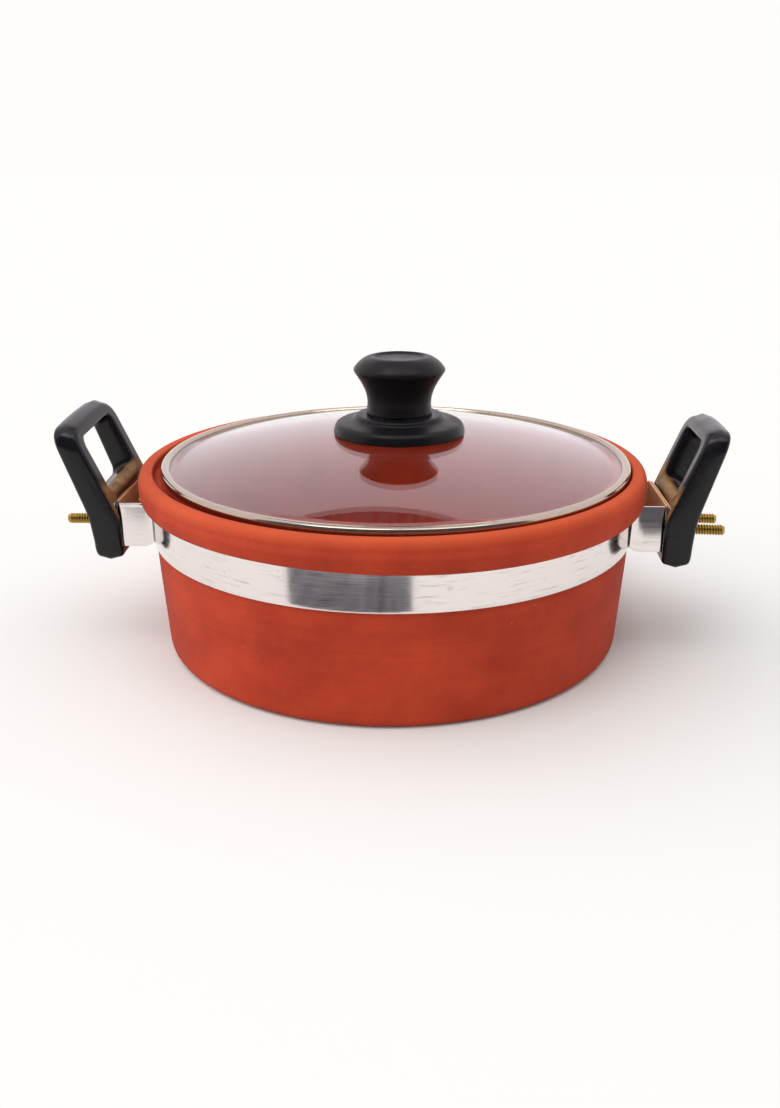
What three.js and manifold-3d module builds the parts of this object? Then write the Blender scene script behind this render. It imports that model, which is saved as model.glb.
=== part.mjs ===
// Clay kadai: a terracotta pot with a steel band, two bolted loop handles and a glass lid with a knob.
// Millimetres, +Z up. The origin lies on the pot's axis, on the plane that the pot stands on.
// -Y is the front, and the handles are on -X (left) and +X (right).
import * as THREE from 'three';
import { mergeVertices } from 'three/addons/utils/BufferGeometryUtils.js';
import Module from 'manifold-3d';

const wasm = await Module();
wasm.setup();

// Fits
const gap = 0.3; // between faces that rest on each other
const holePlay = 0.35; // radial play of a bolt or screw in its hole

// Lid: the ring's outer radius drives the pot's rim, neck and band
const lidRadius = 110;
const ringSheet = 0.8;
const ringLip = 4.6; // how far the ring's lips reach in over the glass
const glassThickness = 4;
const domeRise = 13;
const flangeWidth = 5; // flat edge of the glass that the ring grips
const glassBevel = 0.8;
const ringRound = 1.6; // outer corners of the ring's channel
const glassHoleRadius = 5;

// Pot
const potHeight = 85;
const lidPlay = 2.1; // between the ring and the wall of its seat
const seatDepth = 4.3; // from the top of the rim down to the seat
const rimWall = 6.9; // from the wall of the seat out to the rim's widest point
const rimHeight = 12.7;
const rimOverhang = 6.6; // from the neck out to the rim's widest point
const rimUndercut = 2.6; // flat underside of the rim, next to the neck
const rimBelly = 7; // the rim is widest this far above its underside
const rimCrown = 3.9; // the roll of the rim's top, in from its widest point
const seatEdge = 1.2; // rounded inner edge of the rim
const neckMargin = 3; // straight neck left bare under the band
const wallThickness = 9.2;
const wallFlare = 3.3; // how much wider the neck is than the foot
const footFillet = 4.2;
const floorThickness = 8;
const innerFillet = 11;

// Band and brackets
const bandHeight = 18.6;
const bandSheet = 0.8;
const bandBend = 2.2; // size of the sheet's rounded bends
const bracketReach = 12.2; // from the neck out to the inner flange
const handleSetForward = 10; // the handles sit this far in front of the pot's axis

// Handles
const handleWidth = 54;
const handleSideMargin = 3.4; // the ears lie this far in from the handle's sides
const handleRecess = 3.4; // depth of the inner face's recess, which hides the band's flanges
const handleDrop = 7.5; // foot below the bottom of the band
const handleTop = 54.3; // top bar above the bottom of the band
const handleFootDepth = 12.4;
const handleBendDepth = 14.3;
const handleTopDepth = 10.6;
const handleBendHeight = 13; // where both faces start to lean out
const handleTopFall = 1.5; // the top bar slopes down to the pot by this much
const handleReach = 15.9; // how far out the inner face of the top bar stands
const handleCorner = 4.5;
const handleShoulder = 11; // rounded upper corners, seen from outside
const handleEdge = 1.6;
const legWidth = 7.5;
const topBarHeight = 5.4; // on the inner face
const windowHeight = 26;
const windowCorner = 4;
const nutPocketDepth = 3.2;
const nutPocketHeight = 14;

// Handle fasteners, M5
const boltRadius = 2.5;
const boltLength = 29; // under the head
const shortBoltLength = 22; // the left rear bolt
const boltHeadRadius = 4.4;
const boltHeadHeight = 3;
const boltHeadCrown = 1.2;
const boltChamfer = 0.7;
const boltSpacing = 19;
const boltHeight = 5.3; // above the bottom of the band
const washerRadius = 5;
const washerThickness = 1;
const nutAcrossFlats = 8;
const nutThickness = 4;

// Knob and what fixes it to the glass
const knobHeight = 26.6;
const knobRadius = 21.1;
const knobStemRadius = 14.9;
const knobStemFoot = 15.4;
const knobWaistHeight = 4.6;
const knobEdgeHeight = 19.6; // underside of the knob's widest edge
const knobEdgeThickness = 1.5;
const knobNeckEase = 6; // straight pull of the stem's curve above the waist
const knobFlareIn = 3.4; // pull of the same curve below the edge, inwards
const knobFlareDown = 5; // and downwards
const knobCrownIn = 1.6; // pull of the crown's curve above the edge, inwards
const knobCrownUp = 2.4; // and upwards
const knobCrownFlat = 4; // pull of the crown's curve beside the dish
const knobDishRadius = 11.6;
const knobDishLip = 0.8;
const knobDishDepth = 0.9;
const baseRadius = 31.3;
const baseHeight = 8; // above the top of the glass
const baseEdge = 4.4;
const baseRound = 0.8; // lower corner of the edge
const baseShoulder = 2.8; // rounding from the edge to the top
const baseCollarRadius = 20.5;
const baseCollarHeight = 2.6;
const baseCollarEase = 2;
const gasketRadius = 11;
const gasketThickness = 1.5;
const lidWasherRadius = 9;
const lidWasherThickness = 1.2;
const screwRadius = 2.5;
const screwHeadRadius = 4.8;
const screwHeadHeight = 2.8;
const screwHeadCrown = 1.6;
const insertRadius = 5;
const insertLength = 13;
const screwEngagement = 10; // thread inside the insert
const screwRunOut = 3; // free depth above the insert

// Facets
const potSegments = 48;
const lidSegments = 48;
const knobSegments = 28;
const fastenerSegments = 12;
const curveSteps = 4;
const bandArcSteps = 40;
const domeSteps = 6;
const handleEdgeSteps = 2;

// Materials
const clay = new THREE.MeshStandardMaterial({ color: 0xb9492c, roughness: 0.75, metalness: 0 });
const polishedSteel = new THREE.MeshStandardMaterial({ color: 0xd6d3d0, roughness: 0.12, metalness: 1 });
const phenolic = new THREE.MeshStandardMaterial({ color: 0x17171a, roughness: 0.3, metalness: 0 });
const yellowZinc = new THREE.MeshStandardMaterial({ color: 0xb9993f, roughness: 0.35, metalness: 1 });
const zinc = new THREE.MeshStandardMaterial({ color: 0xb4b6b8, roughness: 0.4, metalness: 1 });
const glass = new THREE.MeshStandardMaterial({
  color: 0xdfe9e6, roughness: 0.03, metalness: 0, transparent: true, opacity: 0.35,
});
const silicone = new THREE.MeshStandardMaterial({ color: 0xd8d6d0, roughness: 0.6, metalness: 0 });
const brass = new THREE.MeshStandardMaterial({ color: 0xb08d3c, roughness: 0.35, metalness: 1 });

// Solids
const weldTolerance = 1e-4;

// A closed geometry with only shared positions, and no flattened triangles.
function weld(geometry) {
  geometry.deleteAttribute('normal');
  geometry.deleteAttribute('uv');
  const welded = mergeVertices(geometry, weldTolerance);
  const corners = welded.index.array;
  const kept = [];
  for (let i = 0; i < corners.length; i += 3) {
    const [a, b, c] = corners.slice(i, i + 3);
    if (a !== b && b !== c && c !== a) kept.push(a, b, c);
  }
  welded.setIndex(kept);
  return welded;
}

function toSolid(geometry) {
  const welded = weld(geometry);
  const vertProperties = new Float32Array(welded.attributes.position.array);
  const triVerts = new Uint32Array(welded.index.array);
  return new wasm.Manifold(new wasm.Mesh({ numProp: 3, vertProperties, triVerts }));
}

function toGeometry(solid) {
  const { vertProperties, triVerts } = solid.getMesh();
  const geometry = new THREE.BufferGeometry();
  geometry.setAttribute('position', new THREE.BufferAttribute(vertProperties, 3));
  geometry.setIndex(new THREE.BufferAttribute(triVerts, 1));
  return geometry;
}

function cut(geometry, ...tools) {
  const start = toSolid(geometry);
  return toGeometry(tools.reduce((solid, tool) => solid.subtract(toSolid(tool)), start));
}

function common(geometry, tool) {
  return toGeometry(toSolid(geometry).intersect(toSolid(tool)));
}

// A path of (radius, height) points turned about the Z axis. The path runs anticlockwise round its section.
function turned(path, segments) {
  const points = path.getPoints(curveSteps);
  return weld(new THREE.LatheGeometry(points, segments).rotateX(Math.PI / 2));
}

// A round bar along +X from x = start, for bolt holes.
function barAlongX(radius, start, length) {
  const bar = new THREE.CylinderGeometry(radius, radius, length, fastenerSegments);
  return bar.rotateZ(-Math.PI / 2).translate(start + length / 2, 0, 0);
}

// A section path for a flat ring of rectangular section.
function ringSection(inner, outer, bottom, height) {
  const path = new THREE.Path();
  path.moveTo(inner, bottom);
  path.lineTo(outer, bottom);
  path.lineTo(outer, bottom + height);
  path.lineTo(inner, bottom + height);
  path.lineTo(inner, bottom);
  return path;
}

// A closed outline through the corners [x, y, radius], each corner rounded.
function roundedOutline(corners) {
  const shape = new THREE.Shape();
  corners.forEach(([x, y, radius], i) => {
    const corner = new THREE.Vector2(x, y);
    const [px, py] = corners[(i + corners.length - 1) % corners.length];
    const [nx, ny] = corners[(i + 1) % corners.length];
    const before = new THREE.Vector2(px, py).sub(corner).setLength(radius).add(corner);
    const after = new THREE.Vector2(nx, ny).sub(corner).setLength(radius).add(corner);
    if (i === 0) shape.moveTo(before.x, before.y);
    else shape.lineTo(before.x, before.y);
    shape.quadraticCurveTo(corner.x, corner.y, after.x, after.y);
  });
  shape.closePath();
  return shape;
}

const kadai = new THREE.Group();

function add(parent, name, geometry, material) {
  const mesh = new THREE.Mesh(geometry, material);
  mesh.name = name;
  parent.add(mesh);
  return mesh;
}

// Pot
const seatRadius = lidRadius + lidPlay;
const rimRadius = seatRadius + rimWall;
const neckRadius = rimRadius - rimOverhang;
const rimUnderside = potHeight - rimHeight;
const seatHeight = potHeight - seatDepth;
const bandTop = rimUnderside - gap;
const bandBottom = bandTop - bandHeight;
const neckBottom = bandBottom - neckMargin;
const footRadius = neckRadius - wallFlare;

function potGeometry() {
  const innerTop = neckRadius - wallThickness;
  const innerBottom = footRadius - wallThickness;
  const path = new THREE.Path();
  path.moveTo(0, 0);
  path.lineTo(footRadius - footFillet, 0);
  path.quadraticCurveTo(footRadius, 0, footRadius, footFillet);
  path.lineTo(neckRadius, neckBottom);
  path.lineTo(neckRadius, rimUnderside);
  path.lineTo(neckRadius + rimUndercut, rimUnderside);
  path.quadraticCurveTo(rimRadius, rimUnderside, rimRadius, rimUnderside + rimBelly);
  path.quadraticCurveTo(rimRadius, potHeight, rimRadius - rimCrown, potHeight);
  path.lineTo(seatRadius + seatEdge, potHeight);
  path.quadraticCurveTo(seatRadius, potHeight, seatRadius, potHeight - seatEdge);
  path.lineTo(seatRadius, seatHeight);
  path.lineTo(innerTop, seatHeight);
  path.lineTo(innerBottom, floorThickness + innerFillet);
  path.quadraticCurveTo(innerBottom, floorThickness, innerBottom - innerFillet, floorThickness);
  path.lineTo(0, floorThickness);
  return turned(path, potSegments);
}
add(kadai, 'clay_pot', potGeometry(), clay);

// Band: a front and a rear strip, each bent into ear, arc and ear, with a flange behind each handle
const earOffset = handleWidth / 2 - handleSideMargin - bandSheet / 2;
const handleY = -handleSetForward;
const bandRadius = neckRadius + gap + bandSheet / 2;
const innerFlangeX = neckRadius + bracketReach + bandSheet / 2;
const outerFlangeX = innerFlangeX + bandSheet + gap;
const handleX = outerFlangeX + bandSheet / 2 + gap - handleRecess;
const boltZ = bandBottom + boltHeight;

// The points of a rounded bend at a corner between two neighbours.
function bend(before, corner, after) {
  const start = before.clone().sub(corner).setLength(bandBend).add(corner);
  const end = after.clone().sub(corner).setLength(bandBend).add(corner);
  return new THREE.QuadraticBezierCurve(start, corner, end).getPoints(curveSteps);
}

// The outline of a bent sheet: its middle line pushed out to both sides.
function sheetOutline(line, sheet) {
  const normals = line.slice(1).map((point, i) => {
    const along = point.clone().sub(line[i]).normalize();
    return new THREE.Vector2(-along.y, along.x);
  });
  const side = (offset) => line.map((point, i) => {
    const before = normals[Math.max(i - 1, 0)];
    const after = normals[Math.min(i, normals.length - 1)];
    const push = before.clone().add(after).multiplyScalar(offset / (1 + before.dot(after)));
    return point.clone().add(push);
  });
  return new THREE.Shape([...side(sheet / 2), ...side(-sheet / 2).reverse()]);
}

// facing is -1 for the front strip and +1 for the rear one.
function bandStrip(facing, flangeX, flangeEnd) {
  const earY = handleY + facing * earOffset;
  const tipY = handleY - facing * flangeEnd;
  const startAngle = Math.asin(earY / bandRadius);
  const sweep = facing * Math.PI - 2 * startAngle;
  const arc = [];
  for (let i = 0; i <= bandArcSteps; i += 1) {
    const angle = startAngle + (sweep * i) / bandArcSteps;
    arc.push(new THREE.Vector2(bandRadius * Math.cos(angle), bandRadius * Math.sin(angle)));
  }
  const at = (x, y) => new THREE.Vector2(x, y);
  const last = arc.length - 1;
  const line = [
    at(flangeX, tipY),
    ...bend(at(flangeX, tipY), at(flangeX, earY), arc[0]),
    ...bend(at(flangeX, earY), arc[0], arc[1]),
    ...arc.slice(1, last),
    ...bend(arc[last - 1], arc[last], at(-flangeX, earY)),
    ...bend(arc[last], at(-flangeX, earY), at(-flangeX, tipY)),
    at(-flangeX, tipY),
  ];
  const strip = new THREE.ExtrudeGeometry(sheetOutline(line, bandSheet), {
    depth: bandHeight, bevelEnabled: false,
  }).translate(0, 0, bandBottom);
  const holes = [-1, 1].map((row) => (
    barAlongX(boltRadius + holePlay, -2 * flangeX, 4 * flangeX)
      .translate(0, handleY + (row * boltSpacing) / 2, boltZ)
  ));
  return cut(strip, ...holes);
}
const innerFlangeEnd = earOffset - bandSheet - gap;
const outerFlangeEnd = earOffset + bandSheet / 2;
add(kadai, 'band_front', bandStrip(-1, innerFlangeX, innerFlangeEnd), polishedSteel);
add(kadai, 'band_rear', bandStrip(1, outerFlangeX, outerFlangeEnd), polishedSteel);

// Handles, in a frame with x outwards from the handle's inner face and z up from the bottom of the band
const windowTop = handleTop - topBarHeight;
const windowWidth = handleWidth - 2 * legWidth;
const pocketFloor = handleFootDepth - nutPocketDepth;

function handleGeometry() {
  const side = roundedOutline([
    [0, -handleDrop, handleCorner],
    [handleFootDepth, -handleDrop, handleCorner],
    [handleBendDepth, handleBendHeight, handleCorner],
    [handleReach + handleTopDepth, handleTop, handleCorner],
    [handleReach, handleTop - handleTopFall, handleCorner],
    [0, handleBendHeight, handleCorner],
  ]);
  const depth = handleWidth - 2 * handleEdge;
  const body = new THREE.ExtrudeGeometry(side, {
    depth,
    curveSegments: curveSteps,
    bevelThickness: handleEdge,
    bevelSize: handleEdge,
    bevelOffset: -handleEdge,
    bevelSegments: handleEdgeSteps,
  }).rotateX(Math.PI / 2).translate(0, depth / 2, 0);

  const reach = handleReach + handleTopDepth + handleFootDepth;
  const halfWidth = handleWidth / 2;
  const front = roundedOutline([
    [-halfWidth, -handleDrop, handleEdge],
    [halfWidth, -handleDrop, handleEdge],
    [halfWidth, handleTop, handleShoulder],
    [-halfWidth, handleTop, handleShoulder],
  ]);
  const frontBlock = new THREE.ExtrudeGeometry(front, {
    depth: 2 * reach, bevelEnabled: false, curveSegments: curveSteps,
  }).translate(0, 0, -reach).rotateX(Math.PI / 2).rotateZ(Math.PI / 2);

  const half = windowWidth / 2;
  const opening = roundedOutline([
    [-half, -windowHeight / 2, windowCorner],
    [half, -windowHeight / 2, windowCorner],
    [half, windowHeight / 2, windowCorner],
    [-half, windowHeight / 2, windowCorner],
  ]);
  const lean = Math.atan2(handleReach, handleTop - handleBendHeight);
  const windowMiddle = windowTop - windowHeight / 2;
  const windowX = (handleReach * (windowMiddle - handleBendHeight)) / (handleTop - handleBendHeight);
  const window = new THREE.ExtrudeGeometry(opening, {
    depth: reach, bevelEnabled: false, curveSegments: curveSteps,
  }).translate(0, 0, -reach / 2).rotateX(Math.PI / 2).rotateZ(Math.PI / 2).rotateY(lean)
    .translate(windowX, 0, windowMiddle);

  const pocketHalf = nutPocketHeight / 2;
  const pocketOutline = roundedOutline([
    [-half, -pocketHalf, windowCorner],
    [half, -pocketHalf, windowCorner],
    [half, pocketHalf, windowCorner],
    [-half, pocketHalf, windowCorner],
  ]);
  const pocket = new THREE.ExtrudeGeometry(pocketOutline, {
    depth: reach, bevelEnabled: false, curveSegments: curveSteps,
  }).rotateX(Math.PI / 2).rotateZ(Math.PI / 2).translate(pocketFloor, 0, boltHeight);

  const recessWidth = 2 * (earOffset + bandSheet / 2 + gap);
  const recess = new THREE.BoxGeometry(2 * handleRecess, recessWidth, bandHeight + 2 * gap)
    .translate(0, 0, bandHeight / 2);

  const holes = [-1, 1].map((row) => (
    barAlongX(boltRadius + holePlay, -reach, 2 * reach)
      .translate(0, (row * boltSpacing) / 2, boltHeight)
  ));
  return cut(common(body, frontBlock), window, pocket, recess, ...holes);
}

// Bolt along +X with its head's seat at x = 0.
function boltGeometry(length) {
  const path = new THREE.Path();
  path.moveTo(0, -boltHeadHeight);
  path.lineTo(boltHeadRadius - boltHeadCrown, -boltHeadHeight);
  path.quadraticCurveTo(boltHeadRadius, -boltHeadHeight, boltHeadRadius, 0);
  path.lineTo(boltRadius, 0);
  path.lineTo(boltRadius, length - boltChamfer);
  path.lineTo(boltRadius - boltChamfer, length);
  path.lineTo(0, length);
  return turned(path, fastenerSegments).rotateY(Math.PI / 2);
}

function nutGeometry() {
  const acrossCorners = nutAcrossFlats / Math.cos(Math.PI / 6);
  const body = new THREE.CylinderGeometry(acrossCorners / 2, acrossCorners / 2, nutThickness, 6)
    .rotateZ(-Math.PI / 2).translate(nutThickness / 2, 0, 0);
  return cut(body, barAlongX(boltRadius + holePlay, -nutThickness, 3 * nutThickness));
}

function washerGeometry() {
  const section = ringSection(boltRadius + holePlay, washerRadius, 0, washerThickness);
  return turned(section, fastenerSegments).rotateY(Math.PI / 2);
}

const boltSeatX = innerFlangeX - bandSheet / 2 - gap - handleX;
const washerX = pocketFloor + gap;
const nutX = washerX + washerThickness + gap;
for (const [sideName, side] of [['left', -1], ['right', 1]]) {
  const assembly = new THREE.Group();
  assembly.position.set(side * handleX, handleY, bandBottom);
  assembly.rotation.z = side < 0 ? Math.PI : 0;
  kadai.add(assembly);
  add(assembly, `handle_${sideName}`, handleGeometry(), phenolic);
  for (const [rowName, row] of [['front', -1], ['rear', 1]]) {
    const y = (side * row * boltSpacing) / 2;
    const label = `${sideName}_${rowName}`;
    const bolt = boltGeometry(label === 'left_rear' ? shortBoltLength : boltLength);
    add(assembly, `handle_bolt_${label}`, bolt, yellowZinc).position.set(boltSeatX, y, boltHeight);
    add(assembly, `handle_washer_${label}`, washerGeometry(), zinc).position.set(washerX, y, boltHeight);
    add(assembly, `handle_nut_${label}`, nutGeometry(), zinc).position.set(nutX, y, boltHeight);
  }
}

// Lid, in a frame with z up from the bottom of its ring
const lid = new THREE.Group();
lid.position.z = seatHeight + gap;
kadai.add(lid);

const glassBottom = ringSheet + gap;
const glassTop = glassBottom + glassThickness;
const ringHeight = glassTop + gap + ringSheet;
const glassRadius = lidRadius - ringSheet - gap;
const domeRadius = glassRadius - flangeWidth;
const domeCurve = (domeRadius ** 2 + domeRise ** 2) / (2 * domeRise);
const apex = glassTop + domeRise;

// Height of the glass's upper face at a radius.
function domeHeight(radius) {
  return apex - domeCurve + Math.sqrt(domeCurve ** 2 - radius ** 2);
}

function glassGeometry() {
  const radii = Array.from({ length: domeSteps + 1 }, (_, i) => (
    glassHoleRadius + ((domeRadius - glassHoleRadius) * i) / domeSteps
  ));
  const upper = radii.map((radius) => new THREE.Vector2(radius, domeHeight(radius)));
  const lower = upper.map(({ x, y }) => new THREE.Vector2(x, y - glassThickness));
  const edge = [
    new THREE.Vector2(glassRadius - glassBevel, glassBottom),
    new THREE.Vector2(glassRadius, glassBottom + glassBevel),
    new THREE.Vector2(glassRadius, glassTop - glassBevel),
    new THREE.Vector2(glassRadius - glassBevel, glassTop),
  ];
  const section = [...lower, ...edge, ...upper.reverse(), lower[0].clone()];
  return weld(new THREE.LatheGeometry(section, lidSegments).rotateX(Math.PI / 2));
}
add(lid, 'lid_glass', glassGeometry(), glass);

function lidRingGeometry() {
  const innerRound = ringRound - ringSheet;
  const wall = lidRadius - ringSheet;
  const lip = lidRadius - ringLip;
  const path = new THREE.Path();
  path.moveTo(lip, 0);
  path.lineTo(lidRadius - ringRound, 0);
  path.quadraticCurveTo(lidRadius, 0, lidRadius, ringRound);
  path.lineTo(lidRadius, ringHeight - ringRound);
  path.quadraticCurveTo(lidRadius, ringHeight, lidRadius - ringRound, ringHeight);
  path.lineTo(lip, ringHeight);
  path.lineTo(lip, ringHeight - ringSheet);
  path.lineTo(wall - innerRound, ringHeight - ringSheet);
  path.lineTo(wall, ringHeight - ringSheet - innerRound);
  path.lineTo(wall, ringSheet + innerRound);
  path.lineTo(wall - innerRound, ringSheet);
  path.lineTo(lip, ringSheet);
  path.lineTo(lip, 0);
  return turned(path, lidSegments);
}
add(lid, 'lid_ring', lidRingGeometry(), polishedSteel);

// Knob base: a domed disc on the glass, hollow under it for the gasket, with a collar round the stem
const baseTop = apex + baseHeight;
const screwHole = screwRadius + holePlay;
const gasketTop = apex + gap + gasketThickness;

function knobBaseGeometry() {
  const rimBottom = domeHeight(baseRadius) + gap;
  const recess = gasketRadius + gap;
  const collarFoot = baseTop - baseCollarHeight;
  const shoulder = rimBottom + baseEdge;
  const path = new THREE.Path();
  path.moveTo(screwHole, gasketTop + gap);
  path.lineTo(recess, gasketTop + gap);
  path.lineTo(recess, domeHeight(recess) + gap);
  path.lineTo(baseRadius - baseRound, rimBottom);
  path.quadraticCurveTo(baseRadius, rimBottom, baseRadius, rimBottom + baseRound);
  path.lineTo(baseRadius, shoulder - baseShoulder);
  path.quadraticCurveTo(baseRadius, shoulder, baseRadius - baseShoulder, shoulder);
  path.lineTo(baseCollarRadius + baseCollarEase, collarFoot);
  path.quadraticCurveTo(baseCollarRadius, collarFoot, baseCollarRadius, (collarFoot + baseTop) / 2);
  path.quadraticCurveTo(baseCollarRadius, baseTop, knobStemFoot, baseTop);
  path.lineTo(screwHole, baseTop);
  path.lineTo(screwHole, gasketTop + gap);
  return turned(path, knobSegments);
}
add(lid, 'knob_base', knobBaseGeometry(), phenolic);
const gasketSection = ringSection(screwHole, gasketRadius, apex + gap, gasketThickness);
add(lid, 'lid_gasket_upper', turned(gasketSection, knobSegments), silicone);

// Knob: a waisted stem under a wide edge, with a shallow dish on top and a blind hole for the insert
const knobBottom = baseTop + gap;

function knobGeometry() {
  const hole = insertRadius + gap;
  const holeTop = insertLength + screwRunOut;
  const edgeTop = knobEdgeHeight + knobEdgeThickness;
  const path = new THREE.Path();
  path.moveTo(0, holeTop);
  path.lineTo(hole, holeTop);
  path.lineTo(hole, 0);
  path.lineTo(knobStemFoot, 0);
  path.quadraticCurveTo(knobStemRadius, knobWaistHeight / 2, knobStemRadius, knobWaistHeight);
  path.bezierCurveTo(
    knobStemRadius, knobWaistHeight + knobNeckEase,
    knobRadius - knobFlareIn, knobEdgeHeight - knobFlareDown,
    knobRadius, knobEdgeHeight,
  );
  path.lineTo(knobRadius, edgeTop);
  path.bezierCurveTo(
    knobRadius - knobCrownIn, edgeTop + knobCrownUp,
    knobDishRadius + knobCrownFlat, knobHeight,
    knobDishRadius + knobDishLip, knobHeight,
  );
  path.lineTo(knobDishRadius, knobHeight - knobDishDepth);
  path.lineTo(0, knobHeight - knobDishDepth);
  return turned(path, knobSegments).translate(0, 0, knobBottom);
}
add(lid, 'knob', knobGeometry(), phenolic);
const insertSection = ringSection(screwHole, insertRadius, knobBottom + gap, insertLength - gap);
add(lid, 'knob_insert', turned(insertSection, fastenerSegments), brass);

// Under the glass: gasket, washer and the screw that draws the knob down
const lowerGasketTop = domeHeight(gasketRadius) - glassThickness - gap;
const lowerGasketBottom = lowerGasketTop - gasketThickness;
const lowerGasketSection = ringSection(screwHole, gasketRadius, lowerGasketBottom, gasketThickness);
add(lid, 'lid_gasket_lower', turned(lowerGasketSection, knobSegments), silicone);
const washerTop = lowerGasketBottom - gap;
const lidWasherSection = ringSection(
  screwHole, lidWasherRadius, washerTop - lidWasherThickness, lidWasherThickness,
);
add(lid, 'lid_washer', turned(lidWasherSection, knobSegments), polishedSteel);

function knobScrewGeometry() {
  const seat = washerTop - lidWasherThickness - gap;
  const tip = knobBottom + screwEngagement;
  const path = new THREE.Path();
  path.moveTo(0, seat - screwHeadHeight);
  path.lineTo(screwHeadRadius - screwHeadCrown, seat - screwHeadHeight);
  path.quadraticCurveTo(screwHeadRadius, seat - screwHeadHeight, screwHeadRadius, seat);
  path.lineTo(screwRadius, seat);
  path.lineTo(screwRadius, tip);
  path.lineTo(0, tip);
  return turned(path, fastenerSegments);
}
add(lid, 'knob_screw', knobScrewGeometry(), zinc);

export default kadai;
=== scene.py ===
import math

import bmesh
import bpy
from mathutils import Matrix, Vector


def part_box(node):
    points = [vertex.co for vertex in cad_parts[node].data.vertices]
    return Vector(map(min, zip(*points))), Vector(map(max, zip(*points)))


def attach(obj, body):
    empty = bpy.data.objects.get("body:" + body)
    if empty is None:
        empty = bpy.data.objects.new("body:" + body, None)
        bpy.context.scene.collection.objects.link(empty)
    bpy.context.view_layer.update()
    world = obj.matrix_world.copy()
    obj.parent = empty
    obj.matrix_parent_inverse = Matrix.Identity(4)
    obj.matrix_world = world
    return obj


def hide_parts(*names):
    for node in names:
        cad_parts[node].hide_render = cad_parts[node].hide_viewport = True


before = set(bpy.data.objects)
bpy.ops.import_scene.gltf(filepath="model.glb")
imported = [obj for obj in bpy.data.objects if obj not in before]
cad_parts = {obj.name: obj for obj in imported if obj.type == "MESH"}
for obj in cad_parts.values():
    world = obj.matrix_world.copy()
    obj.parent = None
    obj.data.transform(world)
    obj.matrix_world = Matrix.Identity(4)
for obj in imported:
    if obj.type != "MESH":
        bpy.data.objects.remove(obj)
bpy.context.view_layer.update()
mm = 0.001

# Clay pot
# A cooking pot of red clay, thrown on a wheel, scraped smooth and fired once without a glaze.
# A steel band is clamped round its neck under the rolled rim, and a step inside the rim seats the lid.
pot_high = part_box("clay_pot")[1]
band_low, band_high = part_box("band_front")
ring_low, ring_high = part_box("lid_ring")
rim_radius = pot_high.x
seat_radius = ring_high.x + 2.1 * mm
neck_radius = rim_radius - 6.6 * mm
foot_radius = neck_radius - 3.3 * mm
inner_top_radius = neck_radius - 9.2 * mm
inner_foot_radius = foot_radius - 9.2 * mm
rim_top = pot_high.z
rim_underside = rim_top - 12.7 * mm
rim_belly = rim_underside + 7 * mm
seat_height = rim_top - 4.3 * mm
neck_bottom = band_low.z - 3 * mm
pot_floor = 8 * mm
pot_segments = 192
lip_sag = 1.9 * mm
wall_wander = 0.3 * mm


def eased(corners, steps=8):
    """A line through corners (across, up, ease before, ease after), each corner rounded by its eases."""
    line = []
    for i, (across, up, *ease) in enumerate(corners):
        corner = Vector((across, up))
        if not ease:
            line.append(corner)
            continue
        before = Vector(corners[i - 1][:2]) - corner
        after = Vector(corners[(i + 1) % len(corners)][:2]) - corner
        start = corner + before.normalized() * ease[0]
        end = corner + after.normalized() * ease[-1]
        for step in range(steps + 1):
            t = step / steps
            line.append(start * (1 - t) ** 2 + corner * 2 * t * (1 - t) + end * t ** 2)
    return line


def spaced(line, spacing):
    """The same line with points added, so that none lie further apart than the spacing."""
    dense = []
    for a, b in zip(line, line[1:]):
        parts = max(1, math.ceil((b - a).length / spacing))
        dense += [a.lerp(b, k / parts) for k in range(parts)]
    return dense + [line[-1]]


def turned(section, segments, shape=None):
    """Rings of points for a section (radius, height) turned about Z. A point on the axis is a pole."""
    rings = []
    for radius, height in section:
        if radius < 1e-7:
            rings.append([Vector((0, 0, height))])
            continue
        ring = []
        for k in range(segments):
            angle = 2 * math.pi * k / segments
            r, z = shape(radius, angle, height) if shape else (radius, height)
            ring.append(Vector((r * math.cos(angle), r * math.sin(angle), z)))
        rings.append(ring)
    return rings


def skin(name, rings, loop=False):
    """A smooth closed mesh over rings of points, with a map of lengths along and around it in metres."""
    bm = bmesh.new()
    lengths = bm.loops.layers.uv.new("lengths")
    rows = [[bm.verts.new(point) for point in ring] for ring in rings]
    if loop:
        rows.append(rows[0])
    along = 0.0
    for a, b in zip(rows, rows[1:]):
        count = max(len(a), len(b))
        step = (b[0].co - a[0].co).length
        wide = a if len(a) == count else b
        around = [0.0]
        for k in range(count):
            around.append(around[-1] + (wide[(k + 1) % count].co - wide[k].co).length)
        for k in range(count):
            m = (k + 1) % count
            corners = [(a[k % len(a)], along, around[k]), (a[m % len(a)], along, around[k + 1]),
                       (b[m % len(b)], along + step, around[k + 1]), (b[k % len(b)], along + step, around[k])]
            kept = [c for i, c in enumerate(corners) if c[0] is not corners[i - 1][0]]
            face = bm.faces.new([c[0] for c in kept])
            for corner, (_, u, v) in zip(face.loops, kept):
                corner[lengths].uv = (u, v)
        along += step
    for end in (rows[0], rows[-1]):
        if not loop and len(end) > 1:
            bm.faces.new(end)
    bmesh.ops.recalc_face_normals(bm, faces=bm.faces)
    mesh = bpy.data.meshes.new(name)
    bm.to_mesh(mesh)
    bm.free()
    mesh.polygons.foreach_set("use_smooth", [True] * len(mesh.polygons))
    return mesh


def place(name, mesh, material, slot, body, *nodes):
    """A finished piece on its body, standing for its solids."""
    piece = bpy.data.objects.new(name, mesh)
    bpy.context.scene.collection.objects.link(piece)
    mesh.materials.clear()
    mesh.materials.append(material)
    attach(piece, body)
    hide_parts(*nodes)
    return piece


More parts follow.
